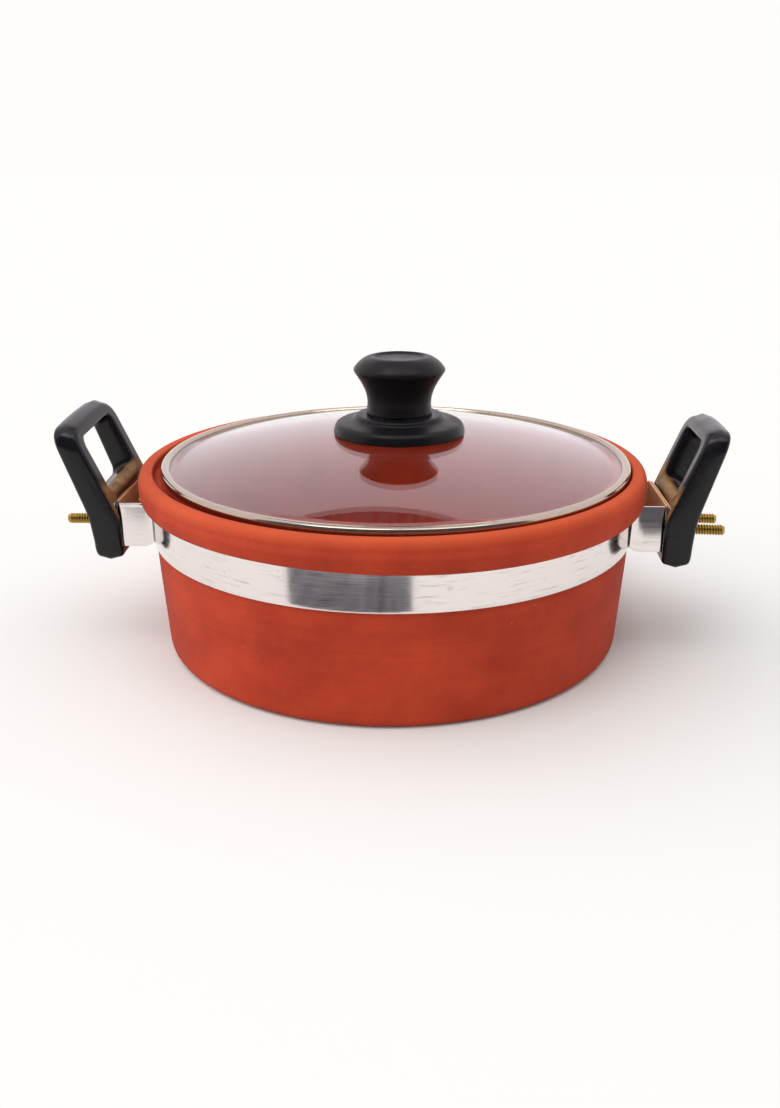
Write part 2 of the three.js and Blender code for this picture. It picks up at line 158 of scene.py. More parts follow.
def linear(colour):
    """An sRGB hex colour as the linear colour that the shaders take."""
    channels = [int(colour[i:i + 2], 16) / 255 for i in (1, 3, 5)]
    return (*(c / 12.92 if c <= 0.04045 else ((c + 0.055) / 1.055) ** 2.4 for c in channels), 1)


def new_material(name, **values):
    """A material with its tree and its shader, which takes the given constant values."""
    material = bpy.data.materials.new(name)
    material.use_nodes = True
    tree = material.node_tree
    shader = tree.nodes["Principled BSDF"]
    for socket, value in values.items():
        shader.inputs[socket.replace("_", " ")].default_value = value
    return material, tree, shader


def feed(target, links):
    """Links a node's inputs. A node given as a source stands for its first output."""
    for socket, source in dict(links).items():
        start = source.outputs[0] if isinstance(source, bpy.types.Node) else source
        target.id_data.links.new(start, target.inputs[socket])


def node(tree, kind, settings=(), values=(), links=()):
    """Adds a node with its settings, input values and input links."""
    made = tree.nodes.new(kind)
    for name, value in dict(settings).items():
        setattr(made, name, value)
    for socket, value in dict(values).items():
        made.inputs[socket].default_value = value
    feed(made, links)
    return made


def thrown(radius, angle, height):
    """The slight unevenness that the thrower's hand leaves, none where the band and the lid seat."""
    lip = max(0.0, min(1.0, (radius - neck_radius - 2 * mm) / (2 * mm)))
    low = max(0.0, min(1.0, (rim_belly - height) / (5 * mm)))
    sag = lip_sag * (1 + 0.55 * math.cos(angle) + 0.1 * math.sin(5 * angle + 2))
    wall = max(0.0, min(1.0, (neck_bottom - height) / (12 * mm))) if radius > inner_top_radius else 0.0
    wander = wall_wander * (math.sin(2 * angle + 0.4) + 0.6 * math.sin(3 * angle + 1.7))
    return radius + wall * wander, height - lip * low * sag


pot_section = eased([
    (0, 0),
    (foot_radius, 0, 5 * mm),
    (neck_radius, neck_bottom, 4 * mm),
    (neck_radius, rim_underside, 0.6 * mm),
    (rim_radius, rim_underside, 4 * mm, rim_belly - rim_underside),
    (rim_radius, rim_top, rim_top - rim_belly, 3.9 * mm),
    (seat_radius, rim_top, 1.2 * mm),
    (seat_radius, seat_height, 1 * mm),
    (inner_top_radius, seat_height, 1.2 * mm),
    (inner_foot_radius, pot_floor, 11 * mm),
    (0, pot_floor),
])


def terracotta():
    """Once-fired clay: matt and warm, with fine grit, soft mottling and the scraper's lines round it."""
    material, tree, shader = new_material("unglazed terracotta", IOR=1.5, Specular_IOR_Level=0.18)
    at = node(tree, "ShaderNodeTexCoord").outputs["Object"]
    mottle_size, grit_size, line_pitch, speck_size = 30 * mm, 0.7 * mm, 2.6 * mm, 2.2 * mm
    mottle = node(tree, "ShaderNodeTexNoise",
                  values={"Scale": 1 / mottle_size, "Detail": 5, "Roughness": 0.6}, links={"Vector": at})
    body = node(tree, "ShaderNodeValToRGB", links={"Fac": mottle})
    body.color_ramp.elements[0].position = 0.3
    body.color_ramp.elements[0].color = linear("#9d301b")
    body.color_ramp.elements[1].position = 0.72
    body.color_ramp.elements[1].color = linear("#b84024")
    grit = node(tree, "ShaderNodeTexNoise", values={"Scale": 1 / grit_size, "Detail": 3},
                links={"Vector": at})
    stretch = node(tree, "ShaderNodeMapping", values={"Scale": (14, 14, 1 / line_pitch)},
                   links={"Vector": at})
    lines = node(tree, "ShaderNodeTexNoise", values={"Scale": 1, "Detail": 4, "Roughness": 0.65},
                 links={"Vector": stretch})
    lined = node(tree, "ShaderNodeMapRange",
                 values={"From Min": 0.3, "From Max": 0.7, "To Min": 0.94, "To Max": 1.05},
                 links={"Value": lines})
    gritty = node(tree, "ShaderNodeMapRange",
                  values={"From Min": 0.25, "From Max": 0.75, "To Min": 0.92, "To Max": 1.08},
                  links={"Value": grit})
    tone = node(tree, "ShaderNodeMath", {"operation": "MULTIPLY"}, links={0: lined, 1: gritty})
    toned = node(tree, "ShaderNodeVectorMath", {"operation": "SCALE"},
                 links={"Vector": body, "Scale": tone})
    specks = node(tree, "ShaderNodeTexVoronoi", values={"Scale": 1 / (4 * speck_size), "Randomness": 1},
                  links={"Vector": at})
    spots = node(tree, "ShaderNodeMapRange",
                 values={"From Min": 0.02, "From Max": 0.05, "To Min": 0.5, "To Max": 0},
                 links={"Value": specks})
    spotted = node(tree, "ShaderNodeMix", {"data_type": "RGBA"}, values={7: linear("#c9795c")},
                   links={0: spots, 6: toned})
    # Painted highlight: the rim's crest is painted paler and more orange towards its top, as light from above
    # would brighten it.
    height = node(tree, "ShaderNodeSeparateXYZ", links={"Vector": at}).outputs["Z"]
    crest_highlight = node(tree, "ShaderNodeMapRange",
                 values={"From Min": rim_belly + 1 * mm, "From Max": rim_top, "To Max": 0.5},
                 links={"Value": height})
    # The paler orange mixed in here is painted highlight on the rim's crest, not wear.
    rubs_and_highlight = node(tree, "ShaderNodeMix", {"data_type": "RGBA"}, values={7: linear("#c8572d")},
                  links={0: crest_highlight, 6: spotted.outputs[2]})
    rough = node(tree, "ShaderNodeMapRange", values={"To Min": 0.62, "To Max": 0.85}, links={"Value": grit})
    relief = node(tree, "ShaderNodeMath", {"operation": "ADD"}, links={0: grit, 1: lines})
    bump = node(tree, "ShaderNodeBump", values={"Strength": 0.35, "Distance": 0.12 * mm},
                links={"Height": relief})
    feed(shader, {"Base Color": rubs_and_highlight.outputs[2], "Roughness": rough, "Normal": bump})
    return material


pot_mesh = skin("clay_pot_thrown", turned(spaced(pot_section, 2.2 * mm), pot_segments, thrown))
place("clay_pot_thrown", pot_mesh, terracotta(), "terracotta", "pot", "clay_pot")

# Steel band
# Two strips of mirror-polished stainless sheet, sheared and bent by hand into arc, ears and flanges.
# The flanges lap in a recess behind each handle, and the handle bolts pull them tight round the neck.
sheet = 0.8 * mm
sheet_edge = 0.28 * mm
bend_ease = 2.2 * mm
ear_drop = 2.2 * mm
# The right ears were bent by hand to lean back, more towards the top.
ear_lean = 0.07
ear_bow = 0.12
handle_low, handle_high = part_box("handle_right")
handle_y = (handle_low.y + handle_high.y) / 2
handle_width = handle_high.y - handle_low.y
ear_offset = handle_width / 2 - 3.4 * mm - sheet / 2
band_radius = neck_radius + 0.3 * mm + sheet / 2
bolt_low, bolt_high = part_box("handle_bolt_right_front")
bolt_z = (bolt_low.z + bolt_high.z) / 2
bolt_spacing = 19 * mm
bolt_hole = 2.85 * mm
arc_steps = 150


def strip_line(facing, flange_x, tip_offset):
    """The strip's middle line, seen from above: flange, ear, arc, ear, flange. Facing is -1 at the front."""
    ear_y = handle_y + facing * ear_offset
    tip_y = handle_y - facing * tip_offset
    start = math.asin(ear_y / band_radius)
    sweep = facing * math.pi - 2 * start
    turns = [start + sweep * k / arc_steps for k in range(arc_steps + 1)]
    arc = [(band_radius * math.cos(a), band_radius * math.sin(a)) for a in turns]
    skipped = 2
    return eased([
        (flange_x, tip_y),
        (flange_x, ear_y, bend_ease),
        (*arc[0], bend_ease),
        *arc[skipped:-skipped],
        (*arc[-1], bend_ease),
        (-flange_x, ear_y, bend_ease),
        (-flange_x, tip_y),
    ])


def strip_rings(line, facing):
    """Sections of the sheet, with sheared edges, along its middle line. The ears are cut a little deeper."""
    ear_y = handle_y + facing * ear_offset
    rings = []
    for i, point in enumerate(line):
        ahead = line[min(i + 1, len(line) - 1)] - line[max(i - 1, 0)]
        across = Vector((-ahead.y, ahead.x)).normalized()
        outside = max(0.0, min(1.0, (point.length - band_radius) / (4 * mm)))
        low = band_low.z - ear_drop * outside ** 2 * (3 - 2 * outside)
        tall = band_high.z - low
        faces = [(-sheet / 2, low), (sheet / 2, low), (sheet / 2, band_high.z), (-sheet / 2, band_high.z)]
        section = eased([(*corner, sheet_edge) for corner in faces], steps=3)
        section = spaced(section + section[:1], 2.2 * mm)[:-1]
        leaning = -facing * outside * max(0.0, 1 - abs(point.y - ear_y) / (8 * mm)) * (point.x > 0)
        ring = []
        for offset, z in section:
            up = (z - low) / tall
            back = leaning * tall * (ear_lean * up + ear_bow * up ** 2 / 2)
            ring.append(Vector((*(point + across * offset + Vector((0, back))), z)))
        rings.append(ring)
    return rings


def carved(name, mesh, bm):
    """The mesh with the shape in bm cut away from it."""
    bmesh.ops.recalc_face_normals(bm, faces=bm.faces)
    tool_mesh = bpy.data.meshes.new(name + "_tool")
    bm.to_mesh(tool_mesh)
    bm.free()
    tool = bpy.data.objects.new(name + "_tool", tool_mesh)
    work = bpy.data.objects.new(name + "_work", mesh)
    for thing in (tool, work):
        bpy.context.scene.collection.objects.link(thing)
    cut = work.modifiers.new("cut", "BOOLEAN")
    cut.operation = "DIFFERENCE"
    cut.solver = "EXACT"
    cut.object = tool
    result = bpy.data.meshes.new_from_object(work.evaluated_get(bpy.context.evaluated_depsgraph_get()))
    result.name = name
    for thing in (tool, work):
        bpy.data.objects.remove(thing)
    return result


def bored(name, mesh, axes, radius):
    """A mesh with round holes along X through it, at the given (y, z) places."""
    bm = bmesh.new()
    for y, z in axes:
        made = bmesh.ops.create_cone(bm, cap_ends=True, segments=32, depth=0.5,
                                     radius1=radius, radius2=radius)
        for vert in made["verts"]:
            vert.co = Vector((vert.co.z, vert.co.y + y, vert.co.x + z))
    return carved(name, mesh, bm)


def polished_steel(name, tone, stain):
    """Stainless sheet buffed to a mirror: clear reflections, fine lines along the strip, a few stains.
    Clay dust lies on it inside the brackets."""
    material, tree, shader = new_material(name)
    lengths = node(tree, "ShaderNodeUVMap", {"uv_map": "lengths"}).outputs["UV"]
    at = node(tree, "ShaderNodeTexCoord").outputs["Object"]
    # Buffing lines are finer than a pixel, so they are drawn 0.5 mm apart.
    line_pitch, line_length, wave_size, stain_size = 0.5 * mm, 40 * mm, 28 * mm, 8 * mm
    rub_length, rub_width = 16 * mm, 1.2 * mm
    stretch = node(tree, "ShaderNodeMapping", values={"Scale": (1 / line_length, 1 / line_pitch, 1)},
                   links={"Vector": lengths})
    lines = node(tree, "ShaderNodeTexNoise", values={"Scale": 1, "Detail": 3, "Roughness": 0.7},
                 links={"Vector": stretch})
    rough = node(tree, "ShaderNodeMapRange",
                 values={"From Min": 0.35, "From Max": 0.75, "To Min": 0.09, "To Max": 0.22},
                 links={"Value": lines})
    stains = node(tree, "ShaderNodeTexNoise",
                  values={"Scale": 1 / stain_size, "Detail": 9, "Roughness": 0.75}, links={"Vector": at})
    stained = node(tree, "ShaderNodeMapRange",
                   values={"From Min": 0.62, "From Max": 0.7, "To Min": 0, "To Max": 0.6},
                   links={"Value": stains})
    rubs_and_highlight = node(tree, "ShaderNodeMapping", values={"Scale": (1 / rub_length, 1 / rub_width, 1)},
                  links={"Vector": lengths})
    rubs = node(tree, "ShaderNodeTexNoise", values={"Scale": 1, "Detail": 4, "Roughness": 0.7},
                links={"Vector": rubs_and_highlight})
    worn = node(tree, "ShaderNodeMapRange",
                values={"From Min": 0.56, "From Max": 0.7, "To Min": 0, "To Max": 0.5},
                links={"Value": rubs})
    marked = node(tree, "ShaderNodeMath", {"operation": "MAXIMUM"}, links={0: stained, 1: worn})
    colour = node(tree, "ShaderNodeMix", {"data_type": "RGBA"}, values={6: linear(tone), 7: linear(stain)},
                  links={0: marked})
    place_of = node(tree, "ShaderNodeSeparateXYZ", links={"Vector": at})
    aside = node(tree, "ShaderNodeMath", {"operation": "ABSOLUTE"}, links={0: place_of.outputs["X"]})
    bracket_x, bracket_y, soft = rim_radius - 1 * mm, handle_y - ear_offset + 3 * mm, 2 * mm
    beyond = node(tree, "ShaderNodeMapRange", values={"From Min": bracket_x - soft, "From Max": bracket_x},
                  links={"Value": aside})
    behind = node(tree, "ShaderNodeMapRange", values={"From Min": bracket_y, "From Max": bracket_y + soft},
                  links={"Value": place_of.outputs["Y"]})
    facing = node(tree, "ShaderNodeSeparateXYZ",
                  links={"Vector": node(tree, "ShaderNodeNewGeometry").outputs["Normal"]})
    sheltered = node(tree, "ShaderNodeMapRange",
                     values={"From Min": 0.3, "From Max": 0.6, "To Min": 1, "To Max": 0},
                     links={"Value": facing.outputs["Y"]})
    dust = node(tree, "ShaderNodeMapRange",
                values={"From Min": 0.3, "From Max": 0.6, "To Min": 0.7, "To Max": 1},
                links={"Value": stains})
    for mask in (beyond, behind, sheltered):
        dust = node(tree, "ShaderNodeMath", {"operation": "MULTIPLY"}, links={0: dust, 1: mask})
    dusted = node(tree, "ShaderNodeMix", {"data_type": "RGBA"}, values={7: linear("#ddac74")},
                  links={0: dust, 6: colour.outputs[2]})
    bare = node(tree, "ShaderNodeMath", {"operation": "SUBTRACT"}, values={0: 1}, links={1: dust})
    dulled = node(tree, "ShaderNodeMix", {"data_type": "FLOAT"}, values={3: 0.8}, links={0: dust, 2: rough})
    waves = node(tree, "ShaderNodeTexNoise", values={"Scale": 1 / wave_size, "Detail": 1},
                 links={"Vector": at})
    bump = node(tree, "ShaderNodeBump", values={"Strength": 0.5, "Distance": 0.25 * mm},
                links={"Height": waves})
    scratch = node(tree, "ShaderNodeBump", values={"Strength": 0.08, "Distance": 0.03 * mm},
                   links={"Height": lines, "Normal": bump})
    feed(shader,
         {"Base Color": dusted.outputs[2], "Metallic": bare, "Roughness": dulled, "Normal": scratch})
    return material


steel = polished_steel("polished stainless steel", "#e9e2df", "#93796a")
bolt_axes = [(handle_y + row * bolt_spacing / 2, bolt_z) for row in (-1, 1)]
inner_tip = ear_offset - sheet - 0.3 * mm
outer_tip = ear_offset + sheet / 2
for name, facing, tip_offset in (("band_front", -1, inner_tip), ("band_rear", 1, outer_tip)):
    flange_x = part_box(name)[1].x - sheet / 2
    line = spaced(strip_line(facing, flange_x, tip_offset), 2.5 * mm)
    strip = bored(name + "_bent", skin(name + "_sheet", strip_rings(line, facing)), bolt_axes, bolt_hole)
    place(name + "_bent", strip, steel, "polished_steel", "pot", name)

# Handles
# Black phenolic loops, pressed in a two-part mould whose joint runs round the middle of their sides.
# A recess in the foot takes the band's flanges, and the nuts sit in a pocket on its outer face.
handle_x = handle_low.x
handle_base = band_low.z
foot_bottom = handle_low.z - handle_base
handle_top = handle_high.z - handle_base
half_width = handle_width / 2
foot_depth = 12.4 * mm
bend_depth = 14.3 * mm
bend_height = 13 * mm
bend_run = 7 * mm
top_reach = 15.9 * mm
top_depth = 10.6 * mm
top_crown = 0.8 * mm
shoulder = 9.5 * mm
foot_corner = 3 * mm
leg_width = 8.5 * mm
window_half = half_width - leg_width
window_top = handle_top - 6 * mm
window_bottom = window_top - 24.6 * mm
window_fall = 4.2 * mm
window_corner = 4.5 * mm
mould_round = 2.2 * mm
mould_ridge = 1.1 * mm
recess_depth = 3.4 * mm
recess_half = ear_offset + sheet / 2 + 0.3 * mm
pocket_floor = foot_depth - 3.2 * mm
pocket_half_height = 7 * mm
# The flanges were bent by eye, so the photographed handles sit a little askew on them.
handle_skew = {"left": (-2.2, 4.4, -0.9), "right": (-3, -2.2, 0.3)}


def lean(height, slope):
    """How far a face has leaned out at a height, starting with a soft bend."""
    past = height - bend_height + bend_run / 2
    if past <= 0:
        return 0.0
    if past < bend_run:
        return slope * past ** 2 / (2 * bend_run)
    return slope * (past - bend_run / 2)


def inner_face(height):
    """How far out the face towards the pot lies at a height."""
    return lean(height, top_reach / (handle_top - bend_height))


def outer_face(height):
    """How far out the face away from the pot lies at a height."""
    taper = (bend_depth - foot_depth) * min(1.0, (height - foot_bottom) / (bend_height - foot_bottom))
    rise = top_reach + top_depth - bend_depth
    return foot_depth + taper + lean(height, rise / (handle_top - bend_height))


def outline(half, bottom, top, low_corner, high_corner, crown=0.0):
    """A rounded frame (y, z) with the same count of points on each stretch, whatever its size."""
    corners = [(half, bottom, low_corner), (half, top - crown, high_corner),
               (-half, top - crown, high_corner), (-half, bottom, low_corner)]
    curve = eased(corners, steps=10)
    per_corner = len(curve) // len(corners)
    stretch = 20
    line = []
    for i, point in enumerate(curve):
        line.append(point)
        if i % per_corner == per_corner - 1:
            line += [point.lerp(curve[(i + 1) % len(curve)], k / stretch) for k in range(1, stretch)]
    return [Vector((y, z + crown * (1 - (y / half) ** 2) * (z > (top + bottom) / 2))) for y, z in line]


def handle_rings():
    """Sections round the loop: from the outer frame to the window along the inner face, and back outside."""
    outer = outline(half_width, foot_bottom, handle_top, foot_corner, shoulder, top_crown)
    window = outline(window_half, window_bottom, window_top, window_corner, window_corner)
    quarter = [math.radians(15 * k) for k in range(7)]
    corner = [(mould_round * (1 - math.cos(q)), mould_round * (1 - math.sin(q))) for q in quarter]
    between = 10
    rings = []
    for i, (edge, sill) in enumerate(zip(outer, window)):
        ahead = (outer[(i + 1) % len(outer)] - outer[i - 1]).normalized()
        out = Vector((ahead.y, -ahead.x))
        inside = (window[(i + 1) % len(window)] - window[i - 1]).normalized()
        inside = Vector((-inside.y, inside.x))
        face = []
        for start, finish, falls in ((edge, sill, 0.0), (sill, edge, window_fall)):
            low = Vector((0, falls))
            face.append((start - low * (start is sill), finish - low * (finish is sill)))
        sides = []
        for (start, finish), surface, inward in zip(face, (inner_face, outer_face), (1, -1)):
            span = finish - start
            near, far = (out, inside) if start is edge or inward > 0 else (inside, out)
            step = span.normalized()
            near_share = max(0.3, abs(step.dot(near)))
            far_share = max(0.3, abs(step.dot(far)))
            leading = [(min(0.45, d / near_share / span.length), s) for d, s in corner]
            trailing = [(1 - min(0.45, d / far_share / span.length), s) for d, s in corner][::-1]
            first, last = leading[-1][0], trailing[0][0]
            flat = [(first + (last - first) * k / between, 0.0) for k in range(1, between)]
            run = []
            for share, depth in leading + flat + trailing:
                spot = start + span * share
                run.append((surface(spot.y) + inward * depth, spot))
            sides.append(run)
        inner_run, outer_run = sides
        sill_spot = (inner_run[-1][1] + outer_run[0][1]) / 2 + inside * mould_ridge * 0.4
        sill_mid = ((inner_run[-1][0] + outer_run[0][0]) / 2, sill_spot)
        edge_mid = ((inner_run[0][0] + outer_run[-1][0]) / 2, edge + out * mould_ridge)
        ring = inner_run + [sill_mid] + outer_run + [edge_mid]
        rings.append([Vector((x, spot.x, spot.y)) for x, spot in ring])
    return rings


def block(low, high):
    """A box-shaped tool between two corners."""
    bm = bmesh.new()
    bmesh.ops.create_cube(bm, size=1)
    for vert in bm.verts:
        vert.co = Vector([low[k] + (vert.co[k] + 0.5) * (high[k] - low[k]) for k in range(3)])
    return bm


def prism(line, start, finish):
    """A tool with the outline (y, z) between two places along X."""
    bm = bmesh.new()
    ends = [[bm.verts.new((x, *spot)) for spot in line] for x in (start, finish)]
    for k in range(len(line)):
        m = (k + 1) % len(line)
        bm.faces.new((ends[0][k], ends[0][m], ends[1][m], ends[1][k]))
    for end in ends:
        bm.faces.new(end)
    return bm


def phenolic(name, level, gloss, dull):
    """Phenolic moulding: near black, glossy from the mould, dulled by handling, with clay dust in its lee."""
    material, tree, shader = new_material(name, IOR=1.5, Specular_IOR_Level=level)
    at = node(tree, "ShaderNodeTexCoord").outputs["Object"]
    haze_size, grain_size, dust_size = 12 * mm, 0.8 * mm, 6 * mm
    haze = node(tree, "ShaderNodeTexNoise", values={"Scale": 1 / haze_size, "Detail": 5, "Roughness": 0.65},
                links={"Vector": at})
    colour = node(tree, "ShaderNodeMix", {"data_type": "RGBA"},
                  values={6: linear("#0a090b"), 7: linear("#151316")}, links={0: haze})
    shine = node(tree, "ShaderNodeMapRange",
                 values={"From Min": 0.3, "From Max": 0.7, "To Min": gloss, "To Max": dull},
                 links={"Value": haze})
    spot = node(tree, "ShaderNodeSeparateXYZ", links={"Vector": at})
    height = spot.outputs["Z"]
    facing = node(tree, "ShaderNodeSeparateXYZ",
                  links={"Vector": node(tree, "ShaderNodeNewGeometry").outputs["Normal"]})
    sideways = node(tree, "ShaderNodeMath", {"operation": "ABSOLUTE"}, links={0: facing.outputs["Y"]})
    dust_low, dust_high, soft = band_high.z - 3 * mm, handle_base + window_bottom + 2 * mm, 5 * mm
    rises = node(tree, "ShaderNodeMapRange", values={"From Min": dust_low - soft, "From Max": dust_low},
                 links={"Value": height})
    ends = node(tree, "ShaderNodeMapRange",
                values={"From Min": dust_high, "From Max": dust_high + soft, "To Min": 1, "To Max": 0},
                links={"Value": height})
    lee = node(tree, "ShaderNodeMapRange",
               values={"From Min": 0.35, "From Max": 0.8, "To Min": 1, "To Max": 0},
               links={"Value": sideways})
    outward = node(tree, "ShaderNodeMath", {"operation": "MULTIPLY"},
                   links={0: spot.outputs["X"], 1: facing.outputs["X"]})
    inner = node(tree, "ShaderNodeMapRange",
                 values={"From Min": 0.2 * handle_x, "From Max": 0.5 * handle_x, "To Min": 1, "To Max": 0},
                 links={"Value": outward})
    drift = node(tree, "ShaderNodeTexNoise", values={"Scale": 1 / dust_size, "Detail": 6, "Roughness": 0.7},
                 links={"Vector": at})
    dust = node(tree, "ShaderNodeMapRange",
                values={"From Min": 0.3, "From Max": 0.6, "To Min": 0.35, "To Max": 0.95},
                links={"Value": drift})
    for mask in (rises, ends, lee, inner):
        dust = node(tree, "ShaderNodeMath", {"operation": "MULTIPLY"}, links={0: dust, 1: mask})
    clay = node(tree, "ShaderNodeMix", {"data_type": "RGBA"},
                values={6: linear("#6f5a45"), 7: linear("#b58447")}, links={0: drift})
    mixed = node(tree, "ShaderNodeMix", {"data_type": "RGBA"},
                 links={0: dust, 6: colour.outputs[2], 7: clay.outputs[2]})
    rough = node(tree, "ShaderNodeMix", {"data_type": "FLOAT"}, values={3: 0.7}, links={0: dust, 2: shine})
    grain = node(tree, "ShaderNodeTexNoise", values={"Scale": 1 / grain_size, "Detail": 2},
                 links={"Vector": at})
    bump = node(tree, "ShaderNodeBump", values={"Strength": 0.12, "Distance": 0.04 * mm},
                links={"Height": grain})
    feed(shader, {"Base Color": mixed.outputs[2], "Roughness": rough, "Normal": bump})
    return material


handle_phenolic = phenolic("black phenolic moulding", 0.3, 0.15, 0.32)
bolt_height = bolt_z - handle_base
local_axes = [(row * bolt_spacing / 2, bolt_height) for row in (-1, 1)]
pocket_outline = outline(window_half, bolt_height - pocket_half_height, bolt_height + pocket_half_height,
                         window_corner, window_corner)
handle_sides = {}
for side_name, side in (("left", -1), ("right", 1)):
    pivot = Matrix.Translation((side * handle_x, handle_y - half_width, bolt_z))
    yaw, tilt, splay = (math.radians(angle) for angle in handle_skew[side_name])
    askew = Matrix.Rotation(yaw, 4, "Z") @ Matrix.Rotation(tilt, 4, "X") @ Matrix.Rotation(splay, 4, "Y")
    askew = pivot @ askew @ pivot.inverted()
    turn = Matrix.Rotation(math.pi if side < 0 else 0, 4, "Z")
    handle_sides[side_name] = askew @ Matrix.Translation((side * handle_x, handle_y, handle_base)) @ turn
    loop_mesh = skin("handle_loop", handle_rings(), loop=True)
    recess = block((-1, -recess_half, -ear_drop - 0.3 * mm),
                   (recess_depth, recess_half, band_high.z - handle_base + 0.3 * mm))
    loop_mesh = carved("handle_recessed", loop_mesh, recess)
    loop_mesh = carved("handle_pocketed", loop_mesh, prism(pocket_outline, pocket_floor, 3 * foot_depth))
    name = "handle_" + side_name
    loop_mesh = bored(name + "_moulded", loop_mesh, local_axes, bolt_hole)
    loop_mesh.transform(handle_sides[side_name])
    place(name + "_moulded", loop_mesh, handle_phenolic, "phenolic", "pot", name)

# Handle bolts, washers and nuts
# Yellow-plated M5 machine bolts pass out through the flanges and the foot, with bright nuts and washers.
# They stand well proud of the nuts, and the left rear one is shorter than the rest.
bolt_radius = 2.5 * mm
bolt_head_radius = 4.4 * mm
bolt_head = 3 * mm
bolt_chamfer = 0.7 * mm
washer_radius = 5 * mm
nut_flat = 4 * mm
nut_corner = 4.6 * mm
nut_chamfer = 0.35 * mm
# A true M5 pitch of 0.8 mm is too fine to show, so the thread is drawn coarser.
thread_pitch = 1.25 * mm
thread_depth = 0.5 * mm
thread_step = 0.125 * mm
bolt_seat = bolt_low.x + bolt_head - handle_x
long_bolt = bolt_high.x - bolt_low.x - bolt_head
short_low, short_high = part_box("handle_bolt_left_rear")
short_bolt = short_high.x - short_low.x - bolt_head
washer_low, washer_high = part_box("handle_washer_right_front")
nut_low, nut_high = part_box("handle_nut_right_front")
along_x = Matrix.Rotation(math.pi / 2, 4, "Y")


def threaded(radius, angle, height):
    """A helical thread on the shank, which starts below the head."""
    if radius > bolt_radius or radius < bolt_radius - 0.01 * mm:
        return radius, height
    turn = (height / thread_pitch - angle / (2 * math.pi)) % 1.0
    return radius - thread_depth * 2 * abs(turn - 0.5), height


def bolt_mesh(name, length):
    """A bolt along X with its head's seat at the origin and a slot across the head."""
    head = eased([(0, -bolt_head), (bolt_head_radius, -bolt_head, 3 * mm, 2.4 * mm),
                  (bolt_head_radius, 0, 0.2 * mm), (bolt_radius, 0)])
    shank = [Vector((bolt_radius, thread_step * k)) for k in range(1, int((length - 0.8 * mm) / thread_step))]
    tip = [Vector((bolt_radius - bolt_chamfer, length)), Vector((0, length))]
    mesh = skin(name, turned(head + shank + tip, 24, threaded))
    mesh.transform(along_x)
    slot = 0.6 * mm
    return carved(name, mesh, block((-4 * mm, -6 * mm, -slot), (-1.8 * mm, 6 * mm, slot)))


def hexagonal(radius, angle, height):
    """Flats on the nut's sides, leaving its bore and its round chamfered faces."""
    if radius <= nut_flat:
        return radius, height
    return nut_flat / math.cos((angle % (math.pi / 3)) - math.pi / 6), height


nut_thickness = nut_high.x - nut_low.x
nut_face = nut_flat - 0.1 * mm
nut_section = [Vector(p) for p in (
    (bolt_hole, 0), (nut_face, 0), (nut_corner, nut_chamfer), (nut_corner, nut_thickness - nut_chamfer),
    (nut_face, nut_thickness), (bolt_hole, nut_thickness))]
washer_thickness = washer_high.x - washer_low.x
washer_section = eased([
    (bolt_hole, 0, 0.15 * mm),
    (washer_radius, 0, 0.15 * mm),
    (washer_radius, washer_thickness, 0.35 * mm),
    (bolt_hole, washer_thickness, 0.15 * mm),
], steps=3)
nut_mesh = skin("nut", turned(nut_section, 48, hexagonal), loop=True)
washer_mesh = skin("washer", turned(washer_section, 40), loop=True)
for mesh, low in ((nut_mesh, nut_low), (washer_mesh, washer_low)):
    mesh.transform(Matrix.Translation((low.x - handle_x, 0, 0)) @ along_x)


def row_tree():
    """Geometry nodes that repeat a fastener along the handle's foot."""
    tree = bpy.data.node_groups.new("fastener_row", "GeometryNodeTree")
    sockets = tree.interface
    sockets.new_socket("Fastener", in_out="INPUT", socket_type="NodeSocketGeometry")
    for name, kind in (("Count", "Int"), ("First", "Float"), ("Spacing", "Float"), ("Height", "Float"),
                       ("Material", "Material")):
        sockets.new_socket(name, in_out="INPUT", socket_type="NodeSocket" + kind)
    sockets.new_socket("Row", in_out="OUTPUT", socket_type="NodeSocketGeometry")
    given = node(tree, "NodeGroupInput").outputs
    first = node(tree, "ShaderNodeCombineXYZ", links={"Y": given["First"], "Z": given["Height"]})
    step = node(tree, "ShaderNodeCombineXYZ", links={"Y": given["Spacing"]})
    line = node(tree, "GeometryNodeMeshLine",
                links={"Count": given["Count"], "Start Location": first, "Offset": step})
    copies = node(tree, "GeometryNodeInstanceOnPoints",
                  links={"Points": line, "Instance": given["Fastener"]})
    real = node(tree, "GeometryNodeRealizeInstances", links={"Geometry": copies})
    dressed = node(tree, "GeometryNodeSetMaterial", links={"Geometry": real, "Material": given["Material"]})
    node(tree, "NodeGroupOutput", links={"Row": dressed})
    return tree


fastener_row = row_tree()


def row_of(mesh, material, count, first, side_name):
    """A plain mesh of the fasteners in a row on one handle."""
    holder = bpy.data.objects.new("fastener_row", mesh)
    bpy.context.scene.collection.objects.link(holder)
    rows = holder.modifiers.new("rows", "NODES")
    rows.node_group = fastener_row
    given = {"Count": count, "First": first, "Spacing": bolt_spacing, "Height": bolt_height,
             "Material": material}
    for socket in fastener_row.interface.items_tree:
        if socket.in_out == "INPUT" and socket.name in given:
            rows[socket.identifier] = given[socket.name]
    result = bpy.data.meshes.new_from_object(holder.evaluated_get(bpy.context.evaluated_depsgraph_get()))
    bpy.data.objects.remove(holder)
    result.transform(handle_sides[side_name])
    return result


def joined(name, meshes):
    """Several meshes as one."""
    bm = bmesh.new()
    for mesh in meshes:
        bm.from_mesh(mesh)
    whole = bpy.data.meshes.new(name)
    bm.to_mesh(whole)
    bm.free()
    return whole


